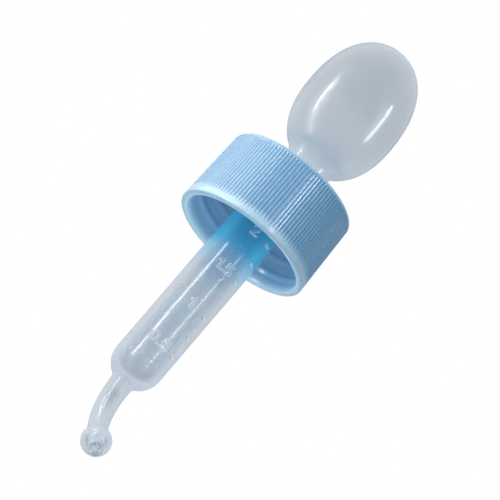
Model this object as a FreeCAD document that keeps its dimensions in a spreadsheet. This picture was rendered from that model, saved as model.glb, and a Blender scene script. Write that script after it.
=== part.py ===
# Screw-cap medicine dropper: squeeze bulb, ribbed screw cap, graduated barrel
# with a bent ball tip, and the sealing washer under the barrel's flange.
# Millimetres. +Z runs up the barrel towards the bulb, the origin is on the
# barrel's axis in the plane of the cap's open rim, and -Y faces the side that
# carries the graduation numerals.
import FreeCAD, Part
import Sketcher
import math
import os

V = FreeCAD.Vector
DIAGONAL = math.sqrt(0.5)
doc = FreeCAD.newDocument("dropper")

# ---------------------------------------------------------------- dimensions
# Heights are Z levels unless named as a length, gap, drop or thickness; angles are degrees.
SIZES = [
    ("cut_overrun", 1.0),  # how far cutting shapes run past a face
    # cap
    ("cap_height", 15.5),
    ("cap_rim_radius", 13.70),
    ("cap_top_radius", 13.14),
    ("cap_top_round", 0.80),
    ("cap_rim_round", 0.45),
    ("cap_mouth_chamfer", 0.30),
    ("skirt_bore_radius", 12.25),
    ("deck_underside", 14.0),
    ("neck_hole_radius", 4.52),
    ("rib_count", 120),
    ("rib_depth", 0.26),
    ("rib_start", 1.25),
    ("rib_stop", 14.65),
    ("rib_setback", 0.03),  # crests below the smooth bands
    ("rib_bury", 0.35),  # extra depth of the core beyond the ribs' depth
    ("thread_pitch", 3.175),
    ("thread_start", 2.6),
    ("thread_rise", 6.9),
    ("thread_crest_radius", 11.35),
    ("thread_root_width", 1.55),
    ("thread_crest_width", 0.65),
    ("thread_bury", 0.35),
    # bulb
    ("bulb_radius", 9.816),
    ("bulb_mid_height", 33.01),
    ("bulb_lower_length", 13.11),
    ("bulb_lower_power", 2.316),
    ("bulb_upper_length", 14.75),
    ("bulb_upper_power", 2.253),
    ("egg_start_lead", 4.5),  # angle from the neck's meeting point to the egg's first point
    ("crown_start_angle", 66.0),
    ("bulb_wall", 0.90),
    ("neck_radius", 4.45),
    ("neck_bore_radius", 3.64),
    ("neck_drop", 1.35),  # neck's top below the egg's first point
    ("neck_flare_out", 0.16),
    ("neck_flare_up", 0.62),
    ("shoulder_drop", 0.55),  # inner curve's start below its first egg point
    ("shoulder_flare", 0.12),
    ("bulb_flange_radius", 7.0),
    ("bulb_flange_gap", 0.02),
    ("bulb_flange_thickness", 1.0),
    ("bulb_flange_top", "=deck_underside - bulb_flange_gap"),
    ("bulb_flange_bottom", "=bulb_flange_top - bulb_flange_thickness"),
    # barrel
    ("barrel_radius", 4.95),
    ("barrel_bore_radius", 4.14),
    ("barrel_end_height", -29.88),
    ("flange_radius", 10.60),
    ("flange_gap", 0.04),
    ("flange_thickness", 1.04),
    ("flange_top", "=bulb_flange_bottom - flange_gap"),
    ("flange_bottom", "=flange_top - flange_thickness"),
    ("spigot_radius", 3.60),
    ("spigot_bead_radius", 3.74),
    ("spigot_bead_low", 16.6),
    ("spigot_bead_high", 17.6),
    ("bead_ramp_low", 0.2),
    ("bead_ramp_high", 0.3),
    ("groove_clearance", 0.04),  # the bulb's groove around the bead, radially
    ("groove_margin", 0.05),  # and beyond each end of the bead
    ("spigot_top", 19.6),
    ("spigot_end_gap", 0.15),
    ("spigot_bore_radius", 2.75),
    ("bore_taper_low_drop", 0.6),  # bore taper's wide end below the flange
    ("bore_taper_high_drop", 0.2),  # its narrow end below the flange's top
    ("tip_start_height", -34.34),
    ("tip_start_radius", 2.22),
    ("tip_end_radius", 1.76),
    ("tip_lead_in", 1.0),
    ("tip_bend_radius", 16.55),
    ("tip_bend_angle", 43.9),
    ("tip_straight", 3.17),
    ("tip_heading", 60.0),  # from +X towards -Y
    ("tip_bore_radius", 1.05),
    ("tip_bore_flare", 0.25),  # extra radius at the bore's upper end
    ("tip_bore_lead_in", 2.5),
    ("tip_bore_overrun", 4.0),  # past the ball's centre
    ("ball_radius", 2.84),
    ("ball_mouth_radius", 1.55),
    ("mouth_extra_radius", 0.25),
    ("mouth_length", 0.9),
    ("mouth_depth", 0.35),
    # graduation
    ("numeral_height", 2.30),
    ("numeral_stroke", 0.34),
    ("numeral_relief", 0.18),
    ("numeral_bury", 0.12),
    ("mark_two", 2.27),
    ("mark_step", -9.28),
    # washer
    ("washer_bore_radius", 5.0),
    ("washer_radius", 11.2),
    ("washer_gap", 0.01),
    ("washer_top", "=flange_bottom - washer_gap"),
    ("washer_thickness", 1.0),
]
sheet = doc.addObject("Spreadsheet::Sheet", "sizes")
for row, (alias, value) in enumerate(SIZES, start=1):
    sheet.set("A%d" % row, alias)
    sheet.set("B%d" % row, str(value))
    sheet.setAlias("B%d" % row, alias)
doc.recompute()


def size(name):
    return float(sheet.get(name))


# ------------------------------------------------------------------- helpers
def new_sketch(body, name, role="XZ_Plane"):
    plane = [item for item in body.Origin.OriginFeatures if item.Role == role][0]
    sketch = body.newObject("Sketcher::SketchObject", name)
    sketch.AttachmentSupport = (plane, [""])
    sketch.MapMode = "FlatFace"
    return sketch


def turned_body(name, sketch_name, edges, turned_name):
    """Body turned about Z from a closed outline; sketch x is radius, y is height."""
    body = doc.addObject("PartDesign::Body", name)
    sketch = new_sketch(body, sketch_name)
    for edge in edges:
        sketch.addGeometry(edge, False)
    turned = body.newObject("PartDesign::Revolution", turned_name)
    turned.Profile = sketch
    turned.ReferenceAxis = (sketch, ["V_Axis"])
    turned.Angle = 360
    return body


def lines(points):
    return [Part.LineSegment(start, end) for start, end in zip(points, points[1:])]


def quarter_arc(start, end, centre, radius, side):
    """Quarter round bulging away from the axis: side is 1 for upwards, -1 for downwards."""
    return Part.Arc(start, centre + V(radius * DIAGONAL, side * radius * DIAGONAL, 0), end)


def feature(name, shape):
    obj = doc.addObject("Part::Feature", name)
    obj.Shape = shape
    return obj


def primitive(kind, name, **expressions):
    obj = doc.addObject("Part::" + kind, name)
    for prop, expression in expressions.items():
        obj.setExpression(prop, expression)
    return obj


def fuse(name, parts):
    obj = doc.addObject("Part::MultiFuse", name)
    obj.Shapes = parts
    obj.Refine = False
    return obj


def cut(name, base, tool):
    obj = doc.addObject("Part::Cut", name)
    obj.Base = base
    obj.Tool = tool
    obj.Refine = False
    return obj


# -------------------------------------------------------------------- washer
def make_washer():
    body = doc.addObject("PartDesign::Body", "washer_body")
    sketch = new_sketch(body, "washer_ring", "XY_Plane")
    for i, alias in enumerate(("washer_radius", "washer_bore_radius")):
        sketch.addGeometry(Part.Circle(V(0, 0, 0), V(0, 0, 1), size(alias)), False)
        sketch.addConstraint(Sketcher.Constraint("Coincident", i, 3, -1, 1))
        radius = sketch.addConstraint(Sketcher.Constraint("Radius", i, size(alias)))
        sketch.setExpression("Constraints[%d]" % radius, "sizes." + alias)
    pad = body.newObject("PartDesign::Pad", "washer_pad")
    pad.Profile = sketch
    pad.setExpression("Length", "sizes.washer_thickness")
    body.setExpression("Placement.Base.z", "sizes.washer_top - sizes.washer_thickness")
    body.Label = "sealing_washer"
    return body


# ----------------------------------------------------------------------- cap
# One rib: angle as a share of the rib spacing, drop from the crest as a share of rib depth.
RIB_PROFILE = [(-0.36, 0.55), (-0.20, 0.08), (0.20, 0.08), (0.36, 0.55), (0.5, 1.0)]


def draft_radius(z):
    """Radius of the cap's tapered side at height z."""
    rim_radius = size("cap_rim_radius")
    return rim_radius + (size("cap_top_radius") - rim_radius) * z / size("cap_height")


def cap_blank():
    """A smooth band at the rim, a core under the ribs and a rounded top edge."""
    height = size("cap_height")
    rim_round, top_round = size("cap_rim_round"), size("cap_top_round")
    low, high = size("rib_start"), size("rib_stop")
    core_drop = size("rib_depth") + size("rib_bury")
    rim_centre = V(draft_radius(0) - rim_round, rim_round, 0)
    top_centre = V(size("cap_top_radius") - top_round, height - top_round, 0)
    base = [V(0, 0, 0), V(rim_centre.x, 0, 0)]
    side = [
        V(draft_radius(rim_round), rim_round, 0),
        V(draft_radius(low), low, 0),
        V(draft_radius(low) - core_drop, low, 0),
        V(draft_radius(high) - core_drop, high, 0),
        V(draft_radius(high), high, 0),
        V(draft_radius(top_centre.y), top_centre.y, 0),
    ]
    top = [V(top_centre.x, height, 0), V(0, height, 0)]
    edges = lines(base)
    edges.append(quarter_arc(base[-1], side[0], rim_centre, rim_round, side=-1))
    edges += lines(side)
    edges.append(quarter_arc(side[-1], top[0], top_centre, top_round, side=1))
    edges += lines(top + base[:1])
    return turned_body("cap_blank", "cap_outline", edges, "cap_turned")


def rib_wire(z):
    """Ribbed outline of the cap at height z."""
    count = int(size("rib_count"))
    crest = draft_radius(z) - size("rib_setback")
    points = []
    for n in range(count):
        for share, drop in RIB_PROFILE:
            angle = (n + share) * 2 * math.pi / count
            radius = crest - drop * size("rib_depth")
            points.append(V(radius * math.cos(angle), radius * math.sin(angle), z))
    return Part.makePolygon(points + points[:1])


def make_thread():
    """One right-hand ridge on the skirt's bore."""
    helix = primitive("Helix", "thread_path", Pitch="sizes.thread_pitch",
                      Height="sizes.thread_rise", Radius="sizes.skirt_bore_radius")
    helix.SegmentLength = 0
    helix.setExpression("Placement.Base.z", "sizes.thread_start")
    doc.recompute()
    root = size("skirt_bore_radius") + size("thread_bury")
    crest = size("thread_crest_radius")
    half_root, half_crest = size("thread_root_width") / 2, size("thread_crest_width") / 2
    start = size("thread_start")
    corners = [
        V(root, 0, start - half_root),
        V(root, 0, start + half_root),
        V(crest, 0, start + half_crest),
        V(crest, 0, start - half_crest),
    ]
    section = feature("thread_section", Part.makePolygon(corners + corners[:1]))
    ridge = doc.addObject("Part::Sweep", "thread_ridge")
    ridge.Sections = [section]
    ridge.Spine = (helix, ["Edge1"])
    ridge.Solid = True
    ridge.Frenet = True
    return ridge


def make_cap():
    blank = cap_blank()
    rib_ends = [rib_wire(size("rib_start")), rib_wire(size("rib_stop"))]
    ribs = feature("cap_ribs", Part.makeLoft(rib_ends, True, True))
    outer = fuse("cap_outer", [blank, ribs])

    bore = primitive("Cylinder", "skirt_bore", Radius="sizes.skirt_bore_radius",
                     Height="sizes.deck_underside + sizes.cut_overrun")
    bore.setExpression("Placement.Base.z", "-sizes.cut_overrun")
    hole = primitive("Cylinder", "neck_hole", Radius="sizes.neck_hole_radius",
                     Height="sizes.cap_height + 2 * sizes.cut_overrun")
    # The 45 degree cone starts one chamfer below the rim and ends two above it.
    mouth = primitive("Cone", "mouth_chamfer",
                      Radius1="sizes.skirt_bore_radius + 2 * sizes.cap_mouth_chamfer",
                      Radius2="sizes.skirt_bore_radius - sizes.cap_mouth_chamfer",
                      Height="3 * sizes.cap_mouth_chamfer")
    mouth.setExpression("Placement.Base.z", "-sizes.cap_mouth_chamfer")
    shell = cut("cap_shell", outer, fuse("cap_hollow", [bore, hole, mouth]))
    cap = fuse("cap_with_thread", [shell, make_thread()])
    cap.Label = "screw_cap"
    return cap


# ---------------------------------------------------------------------- bulb
def bulb_point(angle):
    """A point of the bulb's outside: -90 degrees is the bottom, 90 the top."""
    cosine, sine = math.cos(angle), math.sin(angle)
    part, side = ("lower", -1) if sine < 0 else ("upper", 1)
    length, power = size("bulb_%s_length" % part), size("bulb_%s_power" % part)
    x = size("bulb_radius") * abs(cosine) ** (2.0 / power)
    y = length * abs(sine) ** (2.0 / power)
    return V(x, size("bulb_mid_height") + side * y, 0)


def neck_join():
    """Angle where the bulb's egg meets the neck cylinder, by bisection."""
    low, high = math.radians(-89.9), math.radians(-20)
    for _ in range(60):
        middle = (low + high) / 2
        if bulb_point(middle).x < size("neck_radius"):
            low = middle
        else:
            high = middle
    return high


def crown_arc(centre_height, radius, rim):
    """Arc from the crown's rim to the axis, and its top point."""
    half = math.atan2(rim.x, rim.y - centre_height) / 2
    middle = V(radius * math.sin(half), centre_height + radius * math.cos(half), 0)
    peak = V(0, centre_height + radius, 0)
    return Part.Arc(rim, middle, peak), peak


def spline(points):
    curve = Part.BSplineCurve()
    curve.interpolate(Points=points)
    return curve


def make_bulb():
    steps = 20
    tangent_step = 0.002  # radians either side of the crown's rim
    start = neck_join() + math.radians(size("egg_start_lead"))
    stop = math.radians(size("crown_start_angle"))
    outside = [bulb_point(start + (stop - start) * (n / float(steps))) for n in range(steps + 1)]

    # The crown is a spherical cap that leaves the egg's curve along its tangent,
    # so its centre lies where the curve's normal meets the axis.
    rim = outside[-1]
    tangent = (bulb_point(stop + tangent_step) - bulb_point(stop - tangent_step)).normalize()
    crown_radius = rim.x / tangent.y
    crown_centre = rim.y + crown_radius * tangent.x

    # The same curve one wall further in.
    wall = size("bulb_wall")
    directions = [
        (outside[n + 1] - outside[max(0, n - 1)]).normalize() for n in range(steps)
    ] + [tangent]
    inside = [V(p.x - d.y * wall, p.y + d.x * wall, 0) for p, d in zip(outside, directions)]
    outer_crown, peak_out = crown_arc(crown_centre, crown_radius, outside[-1])
    inner_crown, peak_in = crown_arc(crown_centre, crown_radius - wall, inside[-1])

    neck, bore = size("neck_radius"), size("neck_bore_radius")
    neck_top = V(neck, outside[0].y - size("neck_drop"), 0)
    flare = neck_top + V(size("neck_flare_out"), size("neck_flare_up"), 0)
    shoulder = V(bore + size("shoulder_flare"), inside[0].y - size("shoulder_drop"), 0)

    # The neck's bore has a groove for the spigot's bead.
    groove = size("spigot_bead_radius") + size("groove_clearance")
    groove_low = size("spigot_bead_low") - size("groove_margin")
    groove_high = size("spigot_bead_high") + size("groove_margin")
    flange, bottom, top = [size("bulb_flange_" + end) for end in ("radius", "bottom", "top")]
    neck_inside = [
        V(bore, bottom, 0),
        V(bore, groove_low - size("bead_ramp_low"), 0),
        V(groove, groove_low, 0),
        V(groove, groove_high, 0),
        V(bore, groove_high + size("bead_ramp_high"), 0),
        V(bore, size("spigot_top") + size("spigot_end_gap"), 0),
        shoulder,
    ]
    neck_outside = [
        neck_inside[0], V(flange, bottom, 0), V(flange, top, 0), V(neck, top, 0), neck_top
    ]
    edges = [
        spline([neck_top, flare] + outside),
        outer_crown,
        Part.LineSegment(peak_out, peak_in),
        inner_crown,
        spline([shoulder] + inside),
    ]
    edges += lines(neck_inside) + lines(neck_outside)
    bulb = turned_body("bulb_body", "bulb_outline", edges, "bulb_blown")
    bulb.Label = "squeeze_bulb"
    return bulb


# -------------------------------------------------------------------- barrel
def round_ended(radius, upper):
    """Outline with a hemispherical lower end; upper lists (radius, height) up to the axis."""
    end = size("barrel_end_height")
    pole, side = V(0, end - radius, 0), V(radius, end, 0)
    arc = quarter_arc(pole, side, V(0, end, 0), radius, side=-1)
    return [arc] + lines([side] + [V(x, y, 0) for x, y in upper] + [pole])


def barrel_blank():
    barrel, flange, spigot = [size(part + "_radius") for part in ("barrel", "flange", "spigot")]
    bead, top = size("spigot_bead_radius"), size("spigot_top")
    bead_low, bead_high = size("spigot_bead_low"), size("spigot_bead_high")
    edges = round_ended(barrel, [
        (barrel, size("flange_bottom")),
        (flange, size("flange_bottom")),
        (flange, size("flange_top")),
        (spigot, size("flange_top")),
        (spigot, bead_low - size("bead_ramp_low")),
        (bead, bead_low),
        (bead, bead_high),
        (spigot, bead_high + size("bead_ramp_high")),
        (spigot, top),
        (0, top),
    ])
    return turned_body("barrel_blank", "barrel_outline", edges, "barrel_turned")


def barrel_bore():
    """Narrow in the spigot, wide in the measuring length, round at the end."""
    wide, narrow = size("barrel_bore_radius"), size("spigot_bore_radius")
    top = size("spigot_top") + size("cut_overrun")
    edges = round_ended(wide, [
        (wide, size("flange_bottom") - size("bore_taper_low_drop")),
        (narrow, size("flange_top") - size("bore_taper_high_drop")),
        (narrow, top),
        (0, top),
    ])
    return turned_body("barrel_bore", "bore_outline", edges, "bore_turned")


# The tip leaves the round end on the axis, bends, then runs straight into the ball.
heading, bend = math.radians(size("tip_heading")), math.radians(size("tip_bend_angle"))
away = V(math.cos(heading), -math.sin(heading), 0)
down = V(0, 0, -1)
tip_direction = away * math.sin(bend) + down * math.cos(bend)
bend_start = V(0, 0, size("tip_start_height"))


def bend_point(angle):
    reach = size("tip_bend_radius")
    return bend_start + away * (reach * (1 - math.cos(angle))) + down * (reach * math.sin(angle))


bend_end = bend_point(bend)
ball_centre = bend_end + tip_direction * size("tip_straight")


def tip_pipe(start_radius, end_radius, lead_in, overrun):
    """Tapered pipe from lead_in above the bend to overrun past the ball's centre."""
    first = bend_start - down * lead_in
    last = ball_centre + tip_direction * overrun
    arc = Part.Arc(bend_start, bend_point(bend / 2), bend_end).toShape()
    spine = Part.Wire([Part.makeLine(first, bend_start), arc, Part.makeLine(bend_end, last)])
    maker = Part.BRepOffsetAPI.MakePipeShell(spine)
    maker.setFrenetMode(False)
    for circle in (Part.makeCircle(start_radius, first, down),
                   Part.makeCircle(end_radius, last, tip_direction)):
        maker.add(Part.Wire([circle]), False, False)
    maker.build()
    maker.makeSolid()
    return maker.shape()


# Pen strokes of each glyph as (x, z) points: x from its middle, z up from its base.
GLYPHS = {
    "1": [(-0.42, 1.72), (0.08, 2.13), (0.08, 0.17)],
    "2": [(-0.55, 1.62), (-0.36, 2.0), (0.02, 2.13), (0.42, 1.98), (0.55, 1.6), (0.38, 1.2),
          (-0.58, 0.17), (0.62, 0.17)],
    "5": [(0.58, 2.13), (-0.48, 2.13), (-0.56, 1.2), (-0.2, 1.38), (0.2, 1.36), (0.52, 1.1),
          (0.62, 0.74), (0.5, 0.38), (0.18, 0.18), (-0.24, 0.17), (-0.6, 0.36)],
    "0": [(0.56 * math.sin(math.radians(d)), 1.15 + 0.98 * math.cos(math.radians(d)))
          for d in range(0, 361, 30)],
    ".": [(0.0, 0.2), (0.0, 0.26)],
    "-": [(-0.55, 0.0), (0.55, 0.0)],
}
# Each numeral from the top down, with its letters' angles from -Y towards +X.
NUMERALS = [
    ("2", (8.0,)),
    ("1.5", (-4.3, 5.0, 18.6)),
    ("1", (5.0,)),
    ("0.5", (-10.5, 2.5, 17.0)),
]
TICK_ANGLE = 41.0
STROKE_OUTSIDE, STROKE_INSIDE = 1.0, 1.5  # a stroke's reach either side of the barrel's surface
BAND_BOTTOM, BAND_HEIGHT = -45, 60  # the tube that trims the glyphs


def stroke_solids(start, end):
    """A round-ended bar from start to end, standing out along -Y."""
    half_width = size("numeral_stroke") / 2
    outer_y = -(size("barrel_radius") + STROKE_OUTSIDE)
    depth = STROKE_OUTSIDE + STROKE_INSIDE
    angle = math.atan2(end[1] - start[1], end[0] - start[0])
    across = V(-math.sin(angle) * half_width, 0, math.cos(angle) * half_width)
    a, b = V(start[0], outer_y, start[1]), V(end[0], outer_y, end[1])
    outline = Part.makePolygon([a + across, b + across, b - across, a - across, a + across])
    bar = Part.Face(outline).extrude(V(0, depth, 0))
    return [bar] + [Part.makeCylinder(half_width, depth, point, V(0, 1, 0)) for point in (a, b)]


def scale_marks():
    """Raised numerals and ticks, each facing out along its own radius."""
    surface, base = size("barrel_radius"), V(0, 0, BAND_BOTTOM)
    band = Part.makeCylinder(surface + size("numeral_relief"), BAND_HEIGHT, base)
    band = band.cut(Part.makeCylinder(surface - size("numeral_bury"), BAND_HEIGHT, base))

    def glyph(letter, angle, level):
        pieces = []
        for start, end in zip(GLYPHS[letter], GLYPHS[letter][1:]):
            pieces += stroke_solids(start, end)
        solid = pieces[0].multiFuse(pieces[1:]).removeSplitter()
        solid.translate(V(0, 0, level))
        solid.rotate(V(0, 0, 0), V(0, 0, 1), angle)
        return solid.common(band)

    marks = []
    step = size("mark_step")
    for n, (numeral, angles) in enumerate(NUMERALS):
        level = size("mark_two") + n * step
        for letter, angle in zip(numeral, angles):
            marks.append(glyph(letter, angle, level - size("numeral_height") / 2))
        marks.append(glyph("-", TICK_ANGLE, level))
        if n < len(NUMERALS) - 1:
            marks.append(glyph("-", TICK_ANGLE, level + step / 2))
    return marks[0].multiFuse(marks[1:])


def make_barrel():
    along_tip = FreeCAD.Rotation(V(0, 0, 1), tip_direction)
    blank = barrel_blank()
    space = barrel_bore()
    tip = feature("tip_tube", tip_pipe(
        size("tip_start_radius"), size("tip_end_radius"),
        lead_in=size("tip_lead_in"), overrun=0.0))
    ball = primitive("Sphere", "tip_ball", Radius="sizes.ball_radius")
    ball.Placement = FreeCAD.Placement(ball_centre, along_tip)
    outer = fuse("barrel_outer", [blank, tip, ball])

    bore = size("tip_bore_radius")
    channel = feature("tip_channel", tip_pipe(
        bore + size("tip_bore_flare"), bore,
        lead_in=size("tip_bore_lead_in"), overrun=size("tip_bore_overrun")))
    mouth = primitive("Cone", "tip_mouth", Radius1="sizes.tip_bore_radius",
                      Radius2="sizes.ball_mouth_radius + sizes.mouth_extra_radius",
                      Height="sizes.mouth_length")
    # Distance from the ball's centre to the circle of the mouth's radius on its surface.
    mouth_distance = math.sqrt(size("ball_radius") ** 2 - size("ball_mouth_radius") ** 2)
    mouth.Placement = FreeCAD.Placement(
        ball_centre + tip_direction * (mouth_distance - size("mouth_depth")), along_tip)
    plain = cut("barrel_plain", outer, fuse("barrel_inner", [space, channel, mouth]))
    barrel = fuse("barrel_marked", [plain, feature("scale_marks", scale_marks())])
    barrel.Label = "graduated_barrel"
    return barrel


# ------------------------------------------------------------ check and write
nodes = [make_washer(), make_cap(), make_bulb(), make_barrel()]
doc.recompute()
for obj in doc.Objects:
    if "Invalid" in obj.State or "Error" in obj.State:
        raise RuntimeError("%s failed: %s" % (obj.Name, obj.State))
for obj in nodes:
    shape = obj.Shape
    if shape.isNull() or not shape.isValid() or len(shape.Solids) != 1 or shape.Volume <= 0:
        raise RuntimeError("%s has a bad shape" % obj.Label)
os.makedirs("parts", exist_ok=True)
for obj in nodes:
    obj.Shape.exportStep("parts/%s.step" % obj.Label)
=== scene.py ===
"""Looks of the screw-cap dropper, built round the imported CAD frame.

The axis of the cap is Z and the cap's open rim lies at z = 0. The squeeze bulb stands above the
cap. The graduated barrel passes down through it, and below the barrel's round end the tip tube
bends away towards +X and -Y to a ball. Pieces are drawn in millimetres, and build() turns them
into metres. Shader heights and distances are in metres.
"""
import math

import bmesh
import bpy
import numpy as np
from mathutils import Matrix, Vector


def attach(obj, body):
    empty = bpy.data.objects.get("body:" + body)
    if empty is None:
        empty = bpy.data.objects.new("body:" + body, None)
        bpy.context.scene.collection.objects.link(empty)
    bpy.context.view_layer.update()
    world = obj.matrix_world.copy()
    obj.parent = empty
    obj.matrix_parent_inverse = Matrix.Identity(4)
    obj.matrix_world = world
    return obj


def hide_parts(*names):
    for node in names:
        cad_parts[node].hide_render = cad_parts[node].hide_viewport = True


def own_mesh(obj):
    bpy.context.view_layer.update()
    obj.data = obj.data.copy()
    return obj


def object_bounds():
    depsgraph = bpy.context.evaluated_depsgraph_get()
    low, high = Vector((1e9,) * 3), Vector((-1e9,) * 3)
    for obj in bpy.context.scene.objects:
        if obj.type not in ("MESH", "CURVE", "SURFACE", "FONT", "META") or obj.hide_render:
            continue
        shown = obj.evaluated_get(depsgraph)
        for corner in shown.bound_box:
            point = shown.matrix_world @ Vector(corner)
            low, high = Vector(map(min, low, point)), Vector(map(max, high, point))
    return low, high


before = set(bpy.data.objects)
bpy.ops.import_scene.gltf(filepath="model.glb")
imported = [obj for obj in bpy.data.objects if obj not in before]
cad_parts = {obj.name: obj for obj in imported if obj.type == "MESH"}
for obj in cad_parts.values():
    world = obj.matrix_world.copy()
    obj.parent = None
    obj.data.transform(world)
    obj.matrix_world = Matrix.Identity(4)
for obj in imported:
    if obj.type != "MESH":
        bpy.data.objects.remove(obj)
cad_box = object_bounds()
scene = bpy.context.scene
MM = 0.001
PI = math.pi


# ----------------------------------------------------------------- mesh helpers
def build(name, verts, faces):
    """A smooth-shaded object from points in millimetres and a list of quads and triangles."""
    mesh = bpy.data.meshes.new(name)
    mesh.from_pydata((verts * MM).tolist(), [], faces)
    mesh.validate()
    mesh.polygons.foreach_set("use_smooth", [True] * len(mesh.polygons))
    mesh.update()
    ob = bpy.data.objects.new(name, mesh)
    scene.collection.objects.link(ob)
    return ob


def face_outward(ob):
    bm = bmesh.new()
    bm.from_mesh(ob.data)
    bmesh.ops.recalc_face_normals(bm, faces=bm.faces)
    bm.to_mesh(ob.data)
    bm.free()
    ob.data.update()


def add_attribute(ob, name, values):
    """A float attribute with one value for each point."""
    made = ob.data.attributes.new(name, "FLOAT", "POINT")
    made.data.foreach_set("value", values.ravel().astype(np.float32))


def ring_faces(rows, cols, closed):
    """Quads between successive rings, and from the last ring to the first if closed."""
    i = np.arange(rows if closed else rows - 1)[:, None]
    j = np.arange(cols)[None, :]
    next_i, next_j = (i + 1) % rows, (j + 1) % cols
    corners = [i * cols + j, i * cols + next_j, next_i * cols + next_j, next_i * cols + j]
    return np.stack(corners, -1).reshape(-1, 4).tolist()


def around_z(radius, z, angle):
    """Points of rings round the Z axis, one row of the arrays for each ring."""
    return np.stack([radius * np.cos(angle), radius * np.sin(angle), z], -1).reshape(-1, 3)


def arc(centre_r, centre_z, radius, start, end, count):
    """Points (radius, height) on an arc, angles in degrees from +radius towards +height."""
    t = np.radians(np.linspace(start, end, count))
    return np.stack([centre_r + radius * np.cos(t), centre_z + radius * np.sin(t)], -1)


def line(start, end, count):
    t = np.linspace(0, 1, count)[:, None]
    return np.asarray(start, float) * (1 - t) + np.asarray(end, float) * t


def quadratic(start, control, end, count):
    """Points on a quadratic curve."""
    t = np.linspace(0, 1, count)[:, None]
    start, control, end = (np.asarray(p, float) for p in (start, control, end))
    return (1 - t) ** 2 * start + 2 * t * (1 - t) * control + t * t * end


def join(*runs):
    """One polyline out of several, without repeated points."""
    points = [runs[0][0]]
    for run in runs:
        for point in run:
            if np.hypot(*(point - points[-1])) > 1e-4:
                points.append(point)
    return np.array(points)


def smoothstep(x):
    x = np.clip(x, 0, 1)
    return x * x * (3 - 2 * x)


def round_corners(corners, steps=4):
    """Rounds a polyline given as rows (x, y, distance from the corner where its curve starts).

    The two end points stay as they are, whatever their third number.
    """
    corners = np.array(corners, float)
    points = corners[:, :2]
    out = [points[0]]
    for i in range(1, len(points) - 1):
        corner = points[i]
        before, after = points[i - 1] - corner, points[i + 1] - corner
        len_before, len_after = np.linalg.norm(before), np.linalg.norm(after)
        start = corner + before / len_before * min(corners[i, 2], len_before * 0.45)
        end = corner + after / len_after * min(corners[i, 2], len_after * 0.45)
        out.extend(quadratic(start, corner, end, steps + 1))
    out.append(points[-1])
    return np.array(out)


def resample(points, step):
    """Long runs of a polyline are cut into pieces no longer than step."""
    out = [points[0]]
    for start, end in zip(points[:-1], points[1:]):
        count = max(1, int(math.ceil(np.linalg.norm(end - start) / step)))
        out += [start + (end - start) * k / count for k in range(1, count + 1)]
    return np.array(out)


# ------------------------------------------------------------------------- bulb
BULB_R, BULB_WIDEST_Z = 9.816, 33.01
# lengths of the egg below and above its widest height, and the powers of its superellipses
LOWER_LEN, LOWER_POWER = 13.11, 2.316
UPPER_LEN, UPPER_POWER = 14.75, 2.253
BULB_TOP = BULB_WIDEST_Z + UPPER_LEN
NECK_R = 4.45
CROWN_WALL = 0.95
# heights, and the wall's thickness there
WALL_HEIGHTS = [18, 20, 24, 34, BULB_TOP]
WALL_THICKNESS = [0.81, 0.85, 0.95, 0.90, CROWN_WALL]
# (radius, height, rounding): down the neck, round the flange and up the grooved bore
BULB_FLANGE = [
    (NECK_R, 13.98, 0.35), (7.0, 13.98, 0.25), (7.0, 12.98, 0.25), (3.64, 12.98, 0.12),
    (3.64, 16.35, 0.1), (3.78, 16.55, 0.1), (3.78, 17.65, 0.1), (3.64, 17.95, 0.1),
]
BULB_LEAN = math.radians(-0.8)
BULB_LEAN_FROM = 17.5


def egg(angle):
    """Radius and height of the egg's outline at an angle above its widest level."""
    cosine, sine = math.cos(angle), math.sin(angle)
    length, power = (LOWER_LEN, LOWER_POWER) if sine < 0 else (UPPER_LEN, UPPER_POWER)
    radius = BULB_R * abs(cosine) ** (2 / power)
    rise = length * abs(sine) ** (2 / power)
    return radius, BULB_WIDEST_Z + math.copysign(rise, sine)


def neck_angle():
    """The angle at which the lower egg narrows to the neck, by bisection."""
    low, high = math.radians(-89.9), math.radians(-20)
    for _ in range(60):
        middle = (low + high) / 2
        if egg(middle)[0] < NECK_R:
            low = middle
        else:
            high = middle
    return high


def bulb_profile():
    """(radius, height) from the crown down the outside, round the flange and up the inside."""
    # equal steps in angle bunch up at the crown, so the curve is resampled by length
    fine = np.array([egg(a) for a in np.linspace(PI / 2, neck_angle(), 900)])
    run = np.r_[0, np.cumsum(np.hypot(*np.diff(fine, axis=0).T))]
    at = np.linspace(0, run[-1], 96)
    curve = np.stack([np.interp(at, run, fine[:, 0]), np.interp(at, run, fine[:, 1])], -1)
    curve[0] = (0, BULB_TOP)
    # the neck flares into the egg over a small fillet
    neck_z = curve[-1, 1]
    body = curve[curve[:, 1] > neck_z + 1.0]
    flare = quadratic(body[-1], (NECK_R, neck_z - 0.05), (NECK_R, neck_z - 1.6), 14)[1:]
    outer = np.vstack([body, flare])
    # the inside is the outside moved in by the wall
    along = np.gradient(outer, axis=0)
    along[0] = (1, 0)
    along /= np.linalg.norm(along, axis=1)[:, None]
    wall = np.interp(outer[:, 1], WALL_HEIGHTS, WALL_THICKNESS)[:, None]
    inner = outer + np.stack([along[:, 1], -along[:, 0]], -1) * wall
    inner[0] = (0, BULB_TOP - CROWN_WALL)
    inner = inner[inner[:, 1] > 19.9]
    inner[:, 0] = np.maximum(inner[:, 0], 0)
    flange = round_corners([(*outer[-1], 0), *BULB_FLANGE, (*inner[-1], 0)])
    return join(outer, resample(flange, 0.5), inner[::-1])


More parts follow.
